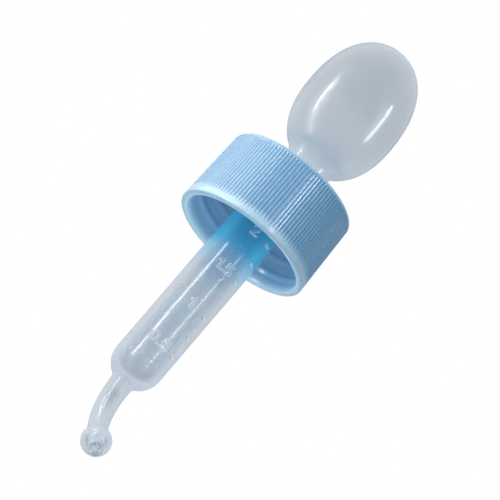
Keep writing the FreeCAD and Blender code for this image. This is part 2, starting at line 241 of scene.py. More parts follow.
def blown(x, y, z):
    """A blown bulb is never perfectly round, and it leans a little on its soft neck."""
    weight = smoothstep((z - 22) / 8) * smoothstep((BULB_TOP + 2 - z) / 10)
    angle = np.arctan2(y, x)
    oval = 0.0022 * np.cos(2 * angle + 0.6)
    lobes = 0.0012 * np.sin(3 * angle - 0.4 + z * 0.12)
    swell = 1 + weight * (oval + lobes)
    above = z - BULB_LEAN_FROM
    lean = math.tan(BULB_LEAN) * np.maximum(above, 0) * smoothstep(above / 5)
    return np.stack([x * swell + lean, y * swell, z], -1).reshape(-1, 3)


def make_bulb():
    profile = bulb_profile()
    cols = 192
    angle = np.arange(cols) * 2 * PI / cols
    # the ends of the profile lie on the axis and become single points
    body, poles = profile[1:-1], profile[[0, -1]]
    x, y = body[:, :1] * np.cos(angle), body[:, :1] * np.sin(angle)
    rings = blown(x, y, body[:, 1:] + 0 * x)
    faces = ring_faces(len(body), cols, False)
    top, bottom = len(rings), len(rings) + 1
    last_ring = (len(body) - 1) * cols
    for j in range(cols):
        k = (j + 1) % cols
        faces.append([top, k, j])
        faces.append([bottom, last_ring + j, last_ring + k])
    verts = np.vstack([rings, blown(np.zeros(2), np.zeros(2), poles[:, 1])])
    return build("bulb_blown_shell", verts, faces)


# ----------------------------------------------------------------------- barrel
# Lengths are measured along the centre line from z = 0, positive downwards.
BARREL_R, BORE_R = 4.95, 4.14
ROUND_END = 29.88  # centre of the barrel's round end
HEADING = math.radians(60.0)  # the tip bends away in this direction, from +X towards -Y
AWAY = np.array([math.cos(HEADING), -math.sin(HEADING), 0.0])
DOWN = np.array([0.0, 0.0, -1.0])
ACROSS = np.cross(-DOWN, AWAY)
BEND_R, BEND_ANGLE = 16.55, math.radians(43.9)
TIP_STRAIGHT = 3.17
BALL_R, MOUTH_R = 2.84, 1.55
BEND_START = 34.34
BEND_END = BEND_START + BEND_R * BEND_ANGLE
BALL_AT = BEND_END + TIP_STRAIGHT
TIP_R_START, TIP_R_END = 2.22, 1.76
FILLET_R = 2.19  # tip tube's radius where the fillet below the round end runs out
SPIGOT_BORE_R = 2.75
SPIGOT_TOP = -19.6
CHANNEL_R_START, CHANNEL_R_END = 1.28, 1.05
# (length, radius, rounding): from the spigot's bore over its outside and the flange
BARREL_TOP = [
    (SPIGOT_TOP, SPIGOT_BORE_R, 0), (SPIGOT_TOP, 3.60, 0.18), (-17.9, 3.60, 0.1),
    (-17.6, 3.74, 0.1), (-16.6, 3.74, 0.1), (-16.4, 3.60, 0.1), (-12.94, 3.60, 0.2),
    (-12.94, 10.60, 0.25), (-11.90, 10.60, 0.25), (-11.90, BARREL_R, 0.35),
    (-11.05, BARREL_R, 0),
]
# (length, radius, rounding): the bore, going up
BARREL_BORE = [
    (ROUND_END - 0.6, BORE_R, 0), (-11.30, BORE_R, 0.3), (-12.74, SPIGOT_BORE_R, 0.5),
    (SPIGOT_TOP, SPIGOT_BORE_R, 0),
]

# Centre lines of the moulded characters: mm across, and height above the character's foot
GLYPHS = {
    "1": [(-0.42, 1.72), (0.08, 2.13), (0.08, 0.17)],
    "2": [
        (-0.55, 1.62), (-0.47, 1.86), (-0.28, 2.06), (0.02, 2.13), (0.30, 2.05), (0.48, 1.86),
        (0.55, 1.6), (0.50, 1.36), (0.36, 1.14), (-0.10, 0.66), (-0.58, 0.17), (0.62, 0.17),
    ],
    "5": [
        (0.58, 2.13), (-0.48, 2.13), (-0.56, 1.2), (-0.36, 1.33), (-0.1, 1.39), (0.2, 1.36),
        (0.42, 1.23), (0.56, 1.02), (0.62, 0.74), (0.58, 0.5), (0.42, 0.29), (0.18, 0.18),
        (-0.24, 0.17), (-0.46, 0.24), (-0.6, 0.36),
    ],
    "0": [
        (0.56 * math.sin(math.radians(d)), 1.15 + 0.98 * math.cos(math.radians(d)))
        for d in range(0, 361, 15)
    ],
    ".": [(0.0, 0.2), (0.0, 0.26)],
}
TICK = [(-0.55, 1.15), (0.55, 1.15)]
TICK_DROP = 0.4  # ticks sit this much below the middle of their number
TICK_AZ = 53.0
GLYPH_HEIGHT = 2.30
FIRST_LEVEL, LEVEL_STEP = 2.27, -9.28
# each number from the top down, with the azimuth of each character in degrees from -Y to +X
NUMBERS = (
    ("2", (8.0,)),
    ("1.5", (-4.3, 5.0, 18.6)),
    ("1", (5.0,)),
    ("0.5", (-10.5, 4.0, 20.0)),
)
# half widths of the strokes, the height of the relief and the width of its sloping flank
GLYPH_HALF, LEVEL_TICK_HALF, MIDWAY_TICK_HALF = 0.32, 0.46, 0.40
RELIEF, FLANK = 0.20, 0.24


def scale_strokes():
    """Strokes of the scale as (azimuth in degrees, height of foot, polyline, half width)."""
    out = []
    for n, (number, azimuths) in enumerate(NUMBERS):
        foot = FIRST_LEVEL + n * LEVEL_STEP - GLYPH_HEIGHT / 2
        tick_foot = foot - TICK_DROP
        out += [(az, foot, GLYPHS[char], GLYPH_HALF) for char, az in zip(number, azimuths)]
        out.append((TICK_AZ, tick_foot, TICK, LEVEL_TICK_HALF))
        if n < len(NUMBERS) - 1:
            out.append((TICK_AZ, tick_foot + LEVEL_STEP / 2, TICK, MIDWAY_TICK_HALF))
    return out


def relief(azimuth, z):
    """Height of the moulded scale, azimuths in radians from -Y towards +X."""
    azimuth, z = np.broadcast_arrays(azimuth, z)
    height = np.zeros(z.shape)
    for stroke_az, foot, stroke, half in scale_strokes():
        across = (azimuth - math.radians(stroke_az)) * BARREL_R
        rise = z - foot
        near = (np.abs(across) < 1.6) & (rise > -0.5) & (rise < 2.9)
        u, w = across[near], rise[near]
        away = np.full(u.shape, 9.0)
        for start, end in zip(stroke[:-1], stroke[1:]):
            du, dw = end[0] - start[0], end[1] - start[1]
            along = ((u - start[0]) * du + (w - start[1]) * dw) / max(du * du + dw * dw, 1e-9)
            t = np.clip(along, 0, 1)
            away = np.minimum(away, np.hypot(u - start[0] - t * du, w - start[1] - t * dw))
        height[near] = np.maximum(height[near], RELIEF * smoothstep((half - away) / FLANK))
    return height


def centre_line(length):
    """Points on the centre line, with its directions and normals in the plane of the bend."""
    angle = np.clip((length - BEND_START) / BEND_R, 0, BEND_ANGLE)[:, None]
    above = np.minimum(length, BEND_START)[:, None]
    beyond = np.maximum(length - BEND_END, 0)[:, None]
    sine, cosine = np.sin(angle), np.cos(angle)
    along = AWAY * sine + DOWN * cosine
    normal = AWAY * cosine - DOWN * sine
    bend = AWAY * (BEND_R * (1 - cosine)) + DOWN * (BEND_R * sine)
    return DOWN * above + bend + along * beyond, normal


def graduated_rows():
    """Rows of the straight outside, close together where the scale is."""
    dense = []
    for n in range(len(NUMBERS)):
        level = FIRST_LEVEL + n * LEVEL_STEP
        dense += list(np.arange(level - 1.5, level + 1.51, 0.09))
        if n < len(NUMBERS) - 1:
            midway = level + LEVEL_STEP / 2
            dense += list(np.arange(midway - 0.9, midway + 0.11, 0.09))
    coarse = [
        z for z in np.arange(11.0, -ROUND_END, -0.9) if min(abs(z - d) for d in dense) > 0.5
    ]
    heights = np.array(sorted(dense + coarse, reverse=True))
    return np.stack([-heights, np.full(len(heights), BARREL_R)], -1)


def outer_rows():
    """(length, radius) down the outside, from the spigot to the mouth of the ball."""
    top = resample(round_corners(BARREL_TOP), 1.2)
    # round end, with a small fillet into the tip tube
    t = np.radians(np.linspace(0, 59.0, 20))
    dome = np.stack([ROUND_END + BARREL_R * np.sin(t), BARREL_R * np.cos(t)], -1)
    meet = ROUND_END + math.sqrt(BARREL_R**2 - TIP_R_START**2)
    fillet_end = BEND_START + 1.0
    fillet = quadratic(dome[-1], (meet + 0.20, 2.26), (fillet_end, FILLET_R), 9)[1:]
    # tapered tube; its first row keeps the radius of the fillet's end
    ball_from = BALL_AT - math.sqrt(BALL_R**2 - TIP_R_END**2)
    lengths = np.linspace(fillet_end, ball_from - 0.35, 34)[1:]
    taper = (TIP_R_END - TIP_R_START) / (BALL_AT - BEND_START)
    radii = TIP_R_START + taper * (lengths - BEND_START)
    radii[0] = FILLET_R
    tube = np.stack([lengths, radii], -1)
    t = np.linspace(PI - math.asin(1.78 / BALL_R) - 0.12, math.asin(MOUTH_R / BALL_R), 40)
    ball = np.stack([BALL_AT + BALL_R * np.cos(t), BALL_R * np.sin(t)], -1)
    return join(top, graduated_rows(), dome, fillet, tube, ball)


def inner_rows(mouth_start):
    """(length, radius) up the inside, from the mouth of the ball to the spigot's bore."""
    lip = BALL_AT + math.sqrt(BALL_R**2 - MOUTH_R**2)
    mouth = round_corners([
        (*mouth_start, 0),
        (lip + 0.02, 1.42, 0.12),
        (lip - 0.55, CHANNEL_R_END, 0.3),
        (lip - 1.6, CHANNEL_R_END, 0),
    ], 5)
    lengths = np.linspace(lip - 1.8, BEND_START + 0.2, 44)
    radii = np.interp(lengths, [BEND_START, BALL_AT], [CHANNEL_R_START, CHANNEL_R_END])
    channel = np.stack([lengths, radii], -1)
    # hollow of the round end
    meet = math.asin(1.30 / BORE_R)
    t = np.linspace(meet + 0.06, PI / 2, 22)
    cup = np.stack([ROUND_END + BORE_R * np.cos(t), BORE_R * np.sin(t)], -1)
    corner = (ROUND_END + BORE_R * math.cos(meet) + 0.25, 1.29, 0.3)
    into_cup = round_corners([(*channel[-1], 0), corner, (*cup[0], 0)])
    bore = resample(round_corners(BARREL_BORE), 1.5)
    return join(mouth, channel, into_cup, cup, bore)


def make_barrel():
    outer = outer_rows()
    # the last row repeats the first
    rows = join(outer, inner_rows(outer[-1]))[:-1]
    outside = np.arange(len(rows)) < len(outer)
    # azimuths from -Y towards +X, close together across the scale
    fine = np.radians(np.arange(-19.0, 63.0, 1.05))
    rest = np.radians(np.linspace(63.0, 341.0, 90))[:-1]
    azimuth = np.r_[fine, rest]
    wrapped = np.where(azimuth > PI, azimuth - 2 * PI, azimuth)
    length, radius = rows[:, 0], rows[:, 1:] + 0 * azimuth
    phi = azimuth - PI / 2 + HEADING  # angle from the heading of the bend

    zone = outside & (np.abs(rows[:, 1] - BARREL_R) < 1e-6)
    zone &= (length < ROUND_END) & (length > -11.0)
    raised = relief(wrapped[None, :], -length[zone][:, None])
    radius[zone] += raised
    # the inside of the mouth is uneven
    in_mouth = ~outside & (length > BALL_AT - 0.6)
    two_lobed = 0.08 * np.sin(2 * phi + 2.1 * length[:, None])
    three_lobed = 0.04 * np.sin(3 * phi - 1.3 * length[:, None] + 0.7)
    radius = np.where(in_mouth[:, None], radius * (1 + two_lobed + three_lobed), radius)

    points, normal = centre_line(length)
    outward = normal[:, None] * np.cos(phi)[None, :, None] + ACROSS * np.sin(phi)[None, :, None]
    verts = points[:, None] + outward * radius[..., None]
    faces = ring_faces(len(rows), len(azimuth), True)
    ob = build("barrel_and_bent_tip", verts.reshape(-1, 3), faces)

    # how far the surface is raised, a painted highlight on the flanks of the raised scale, and how
    # solid the tip is
    mark = np.zeros(radius.shape)
    mark[zone] = np.clip(raised / RELIEF, 0, 1)
    # painted highlight on the sloping sides of the raised scale, stronger on the lower numbers and
    # fainter on the ticks
    flank_highlight = 4 * mark * (1 - mark)
    flank_highlight = np.clip(flank_highlight * np.where(length > 12, 1.45, 1.0)[:, None], 0, 1)
    tick = np.abs(wrapped - math.radians(TICK_AZ)) < math.radians(12)
    flank_highlight = np.where(tick, np.maximum(flank_highlight * 0.3, mark * 0.42), flank_highlight)
    solid = smoothstep((length - np.where(outside, 32.0, 28.6)) / 2.2)
    solid = solid * (1 - 0.85 * smoothstep((length - BALL_AT + 2.6) / 1.2))
    solid = solid * (2.5 - 1.5 * smoothstep((length - 35.5) / 4.5))
    add_attribute(ob, "mark", mark)
    add_attribute(ob, "flank_highlight", flank_highlight)
    add_attribute(ob, "solid", np.repeat(solid, len(azimuth)))
    return ob


# -------------------------------------------------------------------------- cap
CAP_HEIGHT = 15.5
CAP_R_RIM, CAP_R_TOP = 13.70, 13.14
RIM_ROUND, TOP_ROUND = 0.45, 0.8
SKIRT_R, DECK_Z, HOLE_R = 12.25, 14.0, 4.52
RIBS, RIB_DEPTH = 120, 0.12
# across one rib, in rib pitches from its middle: valley, flank, crest edge, crest, edge, flank
RIB_STATIONS = np.array([-0.5, -0.31, -0.20, 0.0, 0.20, 0.31])
CREST_EDGES = [2, 4]
RIB_OFFSETS, RIB_FALL = [0.0, 0.20, 0.31, 0.5], [0.0, 0.09, 0.88, 1.0]
THREAD_START, THREAD_PITCH, THREAD_RISE = 2.6, 3.175, 6.9
THREAD_DEPTH = 0.22


def drafted(z):
    """Radius of the cap's tapered outside."""
    return CAP_R_RIM + (CAP_R_TOP - CAP_R_RIM) * z / CAP_HEIGHT


def cap_profile():
    """(radius, height) up the outside, over the top into the hole, and down the inside."""
    rim_r = drafted(RIM_ROUND) - RIM_ROUND
    runs = [arc(rim_r, RIM_ROUND, RIM_ROUND, -90, 0, 7)]
    walls = ((RIM_ROUND, 1.15, 4), (1.15, 2.05, 7), (2.05, 14.25, 6), (14.25, 14.75, 6))
    for low, high, count in walls:
        runs.append(line((drafted(low), low), (drafted(high), high), count))
    foot_r = SKIRT_R + 0.02
    runs += [
        arc(CAP_R_TOP - TOP_ROUND, CAP_HEIGHT - TOP_ROUND, TOP_ROUND, 0, 90, 9),
        line((CAP_R_TOP - TOP_ROUND, CAP_HEIGHT), (HOLE_R + 0.3, CAP_HEIGHT), 4),
        arc(HOLE_R + 0.3, CAP_HEIGHT - 0.3, 0.3, 90, 180, 4),
        line((HOLE_R, CAP_HEIGHT - 0.3), (HOLE_R, DECK_Z + 0.2), 3),
        arc(HOLE_R + 0.2, DECK_Z + 0.2, 0.2, 180, 270, 3),
        line((HOLE_R + 0.2, DECK_Z), (SKIRT_R - 0.5, DECK_Z), 4),
        arc(SKIRT_R - 0.5, DECK_Z - 0.5, 0.5, 90, 0, 5),
        line((SKIRT_R, DECK_Z - 0.5), (SKIRT_R, 11.6), 5),
        line((SKIRT_R, 11.6), (SKIRT_R, 1.4), 52),
        line((SKIRT_R, 1.4), (foot_r, 0.5), 3),
        round_corners([(foot_r, 0.5, 0), (SKIRT_R + 0.24, 0.0, 0.3), (rim_r, 0.0, 0)], 5),
    ]
    # the last point repeats the first
    return join(*runs)[:-1]


def thread_ridge(angle, z):
    """Height of one right-hand thread ridge, running out at both ends."""
    turns = THREAD_RISE / THREAD_PITCH
    ridge = np.zeros_like(z)
    for n in range(-1, 4):
        turn = angle / (2 * PI) + n
        ends = smoothstep((turn + 0.01) / 0.05) * smoothstep((turns + 0.01 - turn) / 0.05)
        off = np.abs(z - (THREAD_START + THREAD_PITCH * turn))
        ridge = np.maximum(ridge, THREAD_DEPTH * ends * smoothstep((0.95 - off) / 0.85))
    return ridge


def sharpen_crests(mesh, cols, ribbed):
    """The crests end in crisp edges; ribbed tells which rings carry ribs."""
    ends = np.zeros(len(mesh.edges) * 2, int)
    mesh.edges.foreach_get("vertices", ends)
    a, b = ends.reshape(-1, 2).T
    on_crest_edge = np.isin(a % cols % len(RIB_STATIONS), CREST_EDGES)
    sharp = (a % cols == b % cols) & on_crest_edge & ribbed[a // cols] & ribbed[b // cols]
    attributes = mesh.attributes
    flag = attributes.get("sharp_edge") or attributes.new("sharp_edge", "BOOLEAN", "EDGE")
    flag.data.foreach_set("value", sharp)


def make_cap():
    profile = cap_profile()
    angle = (np.arange(RIBS)[:, None] + 0.5 + RIB_STATIONS[None, :]) * 2 * PI / RIBS
    angle = angle.ravel()
    cols = len(angle)
    radius, z = profile[:, :1], profile[:, 1:]
    # grip ribs: barely domed crests with narrow valleys between them
    fall = np.tile(np.interp(np.abs(RIB_STATIONS), RIB_OFFSETS, RIB_FALL), RIBS)
    fade = smoothstep((z - 1.15) / 0.9) * smoothstep((14.78 - z) / 0.5)
    fade = fade * (np.abs(radius - drafted(z)) < 0.02)
    crest = 1 - fall * fade
    inside = (np.abs(radius - SKIRT_R) < 0.03) & (z < 11.7)
    z = z + 0 * angle
    radius = radius - RIB_DEPTH * (1 - crest) - thread_ridge(angle, z) * inside
    faces = [face[::-1] for face in ring_faces(len(profile), cols, True)]
    ob = build("cap_ribbed_shell", around_z(radius, z, angle), faces)
    add_attribute(ob, "crest", crest)
    sharpen_crests(ob.data, cols, fade[:, 0] > 0.5)
    return ob


# ----------------------------------------------------------------------- washer
WASHER_HOLE_R, WASHER_R = 5.0, 11.2
WASHER_LOW, WASHER_MID, WASHER_HIGH = 10.89, 11.39, 11.89
WASHER_ROUND = 0.22


def make_washer():
    section = round_corners([
        (WASHER_HOLE_R, WASHER_MID, 0),
        (WASHER_HOLE_R, WASHER_LOW, WASHER_ROUND),
        (WASHER_R, WASHER_LOW, WASHER_ROUND),
        (WASHER_R, WASHER_HIGH, WASHER_ROUND),
        (WASHER_HOLE_R, WASHER_HIGH, WASHER_ROUND),
        (WASHER_HOLE_R, WASHER_MID, 0),
    ], 5)
    # the last point repeats the first
    section = resample(section, 0.5)[:-1]
    cols = 200
    angle = np.arange(cols) * 2 * PI / cols
    radius, z = section[:, :1] + 0 * angle, section[:, 1:] + 0 * angle
    # the lip of a bottle has pressed a shallow ring into the foam's underside
    z = z + (z < 11.3) * 0.09 * np.exp(-(((radius - 9.7) / 0.75) ** 2))
    faces = ring_faces(len(section), cols, True)
    return build("washer_foam_ring", around_z(radius, z, angle), faces)


bulb = make_bulb()
barrel = make_barrel()
cap = make_cap()
washer = make_washer()
for piece in (bulb, barrel, cap, washer):
    face_outward(piece)


# ----------------------------------------------------------------- node helpers
def feed(tree, socket, value):
    """Links a socket to another, or gives it a value; colours are given without alpha."""
    if isinstance(value, bpy.types.NodeSocket):
        tree.links.new(value, socket)
    elif socket.type == "RGBA":
        socket.default_value = (*value, 1)
    else:
        socket.default_value = value


def add_node(tree, kind, inputs=None, **settings):
    made = tree.nodes.new(kind)
    for key, value in settings.items():
        setattr(made, key, value)
    for key, value in (inputs or {}).items():
        feed(tree, made.inputs[key], value)
    return made


def new_material(name):
    made = bpy.data.materials.new(name)
    made.use_nodes = True
    made.node_tree.nodes.clear()
    return made, made.node_tree


def finish_surface(tree, shader, inputs):
    """Adds the main shader and links it to the material's output."""
    surface = add_node(tree, shader, inputs).outputs[0]
    add_node(tree, "ShaderNodeOutputMaterial", {"Surface": surface})


def object_coords(tree):
    return add_node(tree, "ShaderNodeTexCoord").outputs["Object"]


def noise(tree, coords, scale, detail):
    inputs = {"Vector": coords, "Scale": scale, "Detail": detail}
    return add_node(tree, "ShaderNodeTexNoise", inputs).outputs["Fac"]


def remap(tree, value, span, to=(0.0, 1.0), kind="LINEAR"):
    inputs = {
        "Value": value, "From Min": span[0], "From Max": span[1], "To Min": to[0], "To Max": to[1],
    }
    return add_node(tree, "ShaderNodeMapRange", inputs, interpolation_type=kind).outputs["Result"]


def calc(tree, operation, a, b):
    return add_node(tree, "ShaderNodeMath", {0: a, 1: b}, operation=operation).outputs["Value"]


def mix(tree, factor, a, b):
    inputs = {"Factor": factor, "A": a, "B": b}
    return add_node(tree, "ShaderNodeMix", inputs, data_type="RGBA").outputs["Result"]


def tint(tree, base, mask, amount, colour):
    """Mixes a colour into the base by a mask times an amount."""
    return mix(tree, calc(tree, "MULTIPLY", mask, amount), base, colour)


def lessen(tree, value, mask, amount):
    """Takes a mask times an amount off a value."""
    return calc(tree, "SUBTRACT", value, calc(tree, "MULTIPLY", mask, amount))


def bump(tree, height, strength, distance, **inputs):
    inputs.update({"Height": height, "Strength": strength, "Distance": distance})
    return add_node(tree, "ShaderNodeBump", inputs).outputs["Normal"]


def attribute(tree, name):
    return add_node(tree, "ShaderNodeAttribute", attribute_name=name).outputs["Fac"]


def separate(tree, vector):
    return add_node(tree, "ShaderNodeSeparateXYZ", {0: vector}).outputs


def srgb(*levels):
    """Linear colour from sRGB levels of 0 to 255."""
    values = [level / 255 for level in levels]
    return tuple(v / 12.92 if v <= 0.04045 else ((v + 0.055) / 1.055) ** 2.4 for v in values)


# -------------------------------------------------------------------- materials
def thick_neck(tree, height, base, through):
    """The thick flared neck of the bulb lets less light straight through."""
    neck = remap(tree, height, span=(0.0312, 0.0215))
    return base, lessen(tree, through, neck, 0.8)


def graduated_tip(tree, height, base, through):
    """Painted blue light from the cap near its mouth, a milkier solid tip, and painted highlights
    on the flanks of the moulded scale.
    """
    # painted light: blue of the cap seen through the barrel, painted into the barrel near the cap's
    # mouth
    painted_cap_blue = remap(tree, height, span=(-0.0092, -0.0024))
    solid, flank_highlight = attribute(tree, "solid"), attribute(tree, "flank_highlight")
    # mask, share of its colour, the colour, and the transmission it takes away
    layers = (
        # painted blue light of the cap
        (painted_cap_blue, 0.95, srgb(80, 214, 255), 0.35),
        (solid, 0.6, srgb(228, 236, 243), 0.28),
        # painted highlight on the flanks of the raised scale
        (flank_highlight, 0.85, (0.95, 0.97, 0.99), 0.55),
    )
    for mask, share, colour, haze in layers:
        base = tint(tree, base, mask, share, colour)
        through = lessen(tree, through, mask, haze)
    return base, through


def polyethylene(name, look, regions):
    """Soft translucent polyethylene: milkier where it is seen edge on, with a glossy skin."""
    made, tree = new_material(name)
    coords = object_coords(tree)
    cloud = noise(tree, coords, scale=look["cloud_scale"], detail=3)
    grain = noise(tree, coords, scale=1500, detail=2)
    facing = add_node(tree, "ShaderNodeLayerWeight", {"Blend": 0.5}).outputs["Facing"]
    edge = remap(tree, facing, span=look["edge_span"])
    base = mix(tree, remap(tree, cloud, span=(0.35, 0.65)), look["tint"], look["cloud_tint"])
    base = tint(tree, base, edge, 0.6, look["edge_tint"])
    through = lessen(tree, look["transmission"], edge, look["edge_haze"])
    cloud_haze = remap(tree, cloud, span=(0.4, 0.7), to=(0.0, look["cloud_haze"]))
    through = calc(tree, "SUBTRACT", through, cloud_haze)
    base, through = regions(tree, separate(tree, coords)["Z"], base, through)
    limits = {"Value": through, "Min": 0.03, "Max": 1.0}
    rough = look["roughness"]
    ripple = noise(tree, coords, scale=160, detail=2)
    rippled = bump(tree, ripple, strength=look["ripple"], distance=0.0004)
    grained = bump(tree, grain, strength=0.04, distance=0.00006, Normal=rippled)
    finish_surface(tree, "ShaderNodeBsdfPrincipled", {
        "Base Color": base,
        "Transmission Weight": add_node(tree, "ShaderNodeClamp", limits).outputs["Result"],
        "Roughness": remap(tree, cloud, span=(0.3, 0.7), to=(rough - 0.03, rough + 0.03)),
        "IOR": look["ior"],
        "Coat Weight": 0.9,
        "Coat Roughness": 0.05,
        "Coat IOR": 1.5,
        "Normal": grained,
        "Coat Normal": grained if look["grained_coat"] else rippled,
    })
    return made


def polypropylene(name):
    """Sky-blue satin polypropylene, with light painted in: paler at its thin lip, a painted
    highlight along its top edge, and painted light inside.
    """
    body, body_cloud = srgb(89, 138, 172), srgb(95, 144, 178)
    # painted light colours: pale for the lip and the top edge, lighter blue for the inside
    painted_pale_light, painted_well_light = srgb(161, 191, 206), srgb(114, 160, 193)
    made, tree = new_material(name)
    coords = object_coords(tree)
    cloud = noise(tree, coords, scale=70, detail=3)
    grain = noise(tree, coords, scale=1800, detail=2)
    axes = separate(tree, coords)
    z = axes["Z"]
    flat = add_node(tree, "ShaderNodeCombineXYZ", {"X": axes["X"], "Y": axes["Y"]})
    flat = flat.outputs["Vector"]
    radius = add_node(tree, "ShaderNodeVectorMath", {0: flat}, operation="LENGTH").outputs["Value"]

    base = mix(tree, remap(tree, cloud, span=(0.3, 0.7)), body, body_cloud)
    # painted light: the thin lip is painted paler, as if lit through
    base = tint(tree, base, remap(tree, z, span=(0.0026, 0.0011)), 0.85, painted_pale_light)
    # painted highlight: the top edge is painted paler
    crown = remap(tree, z, span=(0.0146, 0.0150), to=(0.0, 0.45))
    base = mix(tree, crown, base, painted_pale_light)
    # the inside, between the rim and the underside of the top, is painted lighter for light shining
    # through the thin walls
    within = remap(tree, radius, span=(0.01262, 0.01245))
    painted_well_mask = calc(tree, "MULTIPLY", within, remap(tree, z, span=(0.0004, 0.0022)))
    base = tint(tree, base, painted_well_mask, remap(tree, z, span=(0.0142, 0.0140)), painted_well_light)

    # crests are polished by handling, valleys keep the mould's texture
    crest = remap(tree, attribute(tree, "crest"), span=(0.4, 0.9), to=(0.0, 0.45))
    off_lip = remap(tree, z, span=(0.0010, 0.0024), to=(0.30, 1.0))
    finish_surface(tree, "ShaderNodeBsdfPrincipled", {
        "Base Color": base,
        "Roughness": remap(tree, grain, span=(0.3, 0.7), to=(0.46, 0.54)),
        "Specular IOR Level": 0.42,
        "Coat Weight": calc(tree, "MULTIPLY", crest, off_lip),
        "Coat Roughness": 0.16,
        "Coat IOR": 1.5,
        "Sheen Weight": 0.10,
        "Sheen Roughness": 0.35,
        "Subsurface Weight": 0.5,
        "Subsurface Radius": (0.6, 0.9, 1.2),
        "Subsurface Scale": 0.0014,
        "IOR": 1.5,
        "Normal": bump(tree, grain, strength=0.05, distance=0.0001),
    })
    return made


def foam(name):
    """Matt white foam with fine cells."""
    made, tree = new_material(name)
    coords = object_coords(tree)
    cells = add_node(tree, "ShaderNodeTexVoronoi", {"Vector": coords, "Scale": 2600})
    cloud = remap(tree, noise(tree, coords, scale=300, detail=3), span=(0.3, 0.7))
    finish_surface(tree, "ShaderNodeBsdfPrincipled", {
        "Base Color": mix(tree, cloud, srgb(233, 236, 236), srgb(243, 244, 244)),
        "Roughness": 0.72,
        "Subsurface Weight": 0.1,
        "Subsurface Scale": 0.0006,
        "Normal": bump(tree, cells.outputs["Distance"], strength=0.35, distance=0.00025),
    })
    return made


# edge_span: range of facing over which the wall turns milky; the hazes reduce transmission
BULB_LOOK = {
    "tint": srgb(243, 246, 248),
    "cloud_tint": srgb(238, 242, 246),
    "cloud_scale": 70,
    "cloud_haze": 0.06,
    "edge_tint": srgb(234, 238, 245),
    "edge_span": (0.15, 0.95),
    "edge_haze": 0.32,
    "transmission": 0.86,
    "roughness": 0.34,
    "ior": 1.45,
    "ripple": 0.05,
    "grained_coat": True,
}
BARREL_LOOK = {
    "tint": srgb(241, 248, 253),
    "cloud_tint": srgb(236, 244, 250),
    "cloud_scale": 110,
    "cloud_haze": 0.02,
    "edge_tint": srgb(233, 237, 242),
    "edge_span": (0.12, 0.44),
    "edge_haze": 0.78,
    "transmission": 0.88,
    "roughness": 0.26,
    "ior": 1.42,
    "ripple": 0.010,
    "grained_coat": False,
}
for piece, made in (
    (bulb, polyethylene("clear_polyethylene_blown", BULB_LOOK, thick_neck)),
    (barrel, polyethylene("clear_polyethylene_moulded", BARREL_LOOK, graduated_tip)),
    (cap, polypropylene("blue_polypropylene_moulded")),
    (washer, foam("foamed_polyethylene")),
):
    piece.data.materials.append(made)

# -------------------------------------------------------------------- the frame
for piece, rides, replaced, slot in (
    (barrel, "dropper", "graduated_barrel", "clear_polyethylene"),
    (washer, "dropper", "sealing_washer", "washer_foam"),
    (cap, "cap", "screw_cap", "blue_polypropylene"),
    (bulb, "bulb", "squeeze_bulb", "clear_polyethylene"),
):
    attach(piece, rides)
    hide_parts(replaced)


def squeeze_shape(travel):
    """Node group that turns the plain squash of the bulb into a squeeze between fingers."""
    width = 2 * BULB_R * MM
    tree = bpy.data.node_groups.new("bulb_squeeze_shape", "GeometryNodeTree")
    for direction in ("INPUT", "OUTPUT"):
        tree.interface.new_socket(
            "Geometry", in_out=direction, socket_type="NodeSocketGeometry"
        )
    geometry = add_node(tree, "NodeGroupInput").outputs[0]
    now = separate(tree, add_node(tree, "GeometryNodeInputPosition").outputs[0])
    rest = add_node(
        tree, "GeometryNodeInputNamedAttribute", {"Name": "rest_at"}, data_type="FLOAT_VECTOR"
    )
    was = separate(tree, rest.outputs["Attribute"])

    def op(kind, a, b):
        return calc(tree, kind, a, b)

    def y_range(axes):
        inputs = {"Geometry": geometry, "Attribute": axes["Y"]}
        made = add_node(tree, "GeometryNodeAttributeStatistic", inputs, data_type="FLOAT")
        return made.outputs["Range"]

    # the squash tells how far the bulb is pressed
    squashed = op("DIVIDE", y_range(now), y_range(was))
    push = op("MULTIPLY", op("SUBTRACT", 1.0, squashed), width)
    # nothing moves at the neck, and the crown moves less than the middle
    neck = remap(tree, was["Z"], span=(0.0190, 0.0300), kind="SMOOTHSTEP")
    crown = remap(tree, was["Z"], span=(0.0360, 0.0478), to=(1.0, 0.30), kind="SMOOTHSTEP")
    pushed = op("MULTIPLY", push, op("MULTIPLY", neck, crown))
    depth = op("DIVIDE", op("SUBTRACT", BULB_R * MM, was["Y"]), width)
    y = op("ADD", was["Y"], op("MULTIPLY", pushed, depth))
    y = op("SUBTRACT", y, push)
    spread = op("ADD", 1.0, op("MULTIPLY", pushed, 0.24 / (travel * MM)))
    x = op("MULTIPLY", was["X"], spread)
    place = add_node(tree, "ShaderNodeCombineXYZ", {"X": x, "Y": y, "Z": was["Z"]})
    inputs = {"Geometry": geometry, "Position": place.outputs["Vector"]}
    moved = add_node(tree, "GeometryNodeSetPosition", inputs).outputs["Geometry"]
    add_node(tree, "NodeGroupOutput", {0: moved})
    return tree


def make_squeezable(ob, travel):
    """Squashes the bulb by travel (mm) along Y, with walls that bulge sideways."""
    rest = ob.data.attributes.new("rest_at", "FLOAT_VECTOR", "POINT")
    places = np.zeros(len(ob.data.vertices) * 3, np.float32)
    ob.data.vertices.foreach_get("co", places)
    rest.data.foreach_set("vector", places)
    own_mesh(ob)
    ob.modifiers.new("squeeze", "NODES").node_group = squeeze_shape(travel)


make_squeezable(bulb, travel=12.0)

# ----------------------------------------------------------------------- camera
# The camera stands on the -Y side, below the object, and is rolled about its line of sight.
CAM_AZ, CAM_BELOW, CAM_ROLL = math.radians(1.67), math.radians(20.5), math.radians(49.44)
CAM_DISTANCE = 1234.5
VIEW_WIDTH = 89.9  # width of the view at the aim
AIM_ACROSS, AIM_UP = 1.946, 0.310  # the aim, from the origin
SENSOR = 36.0

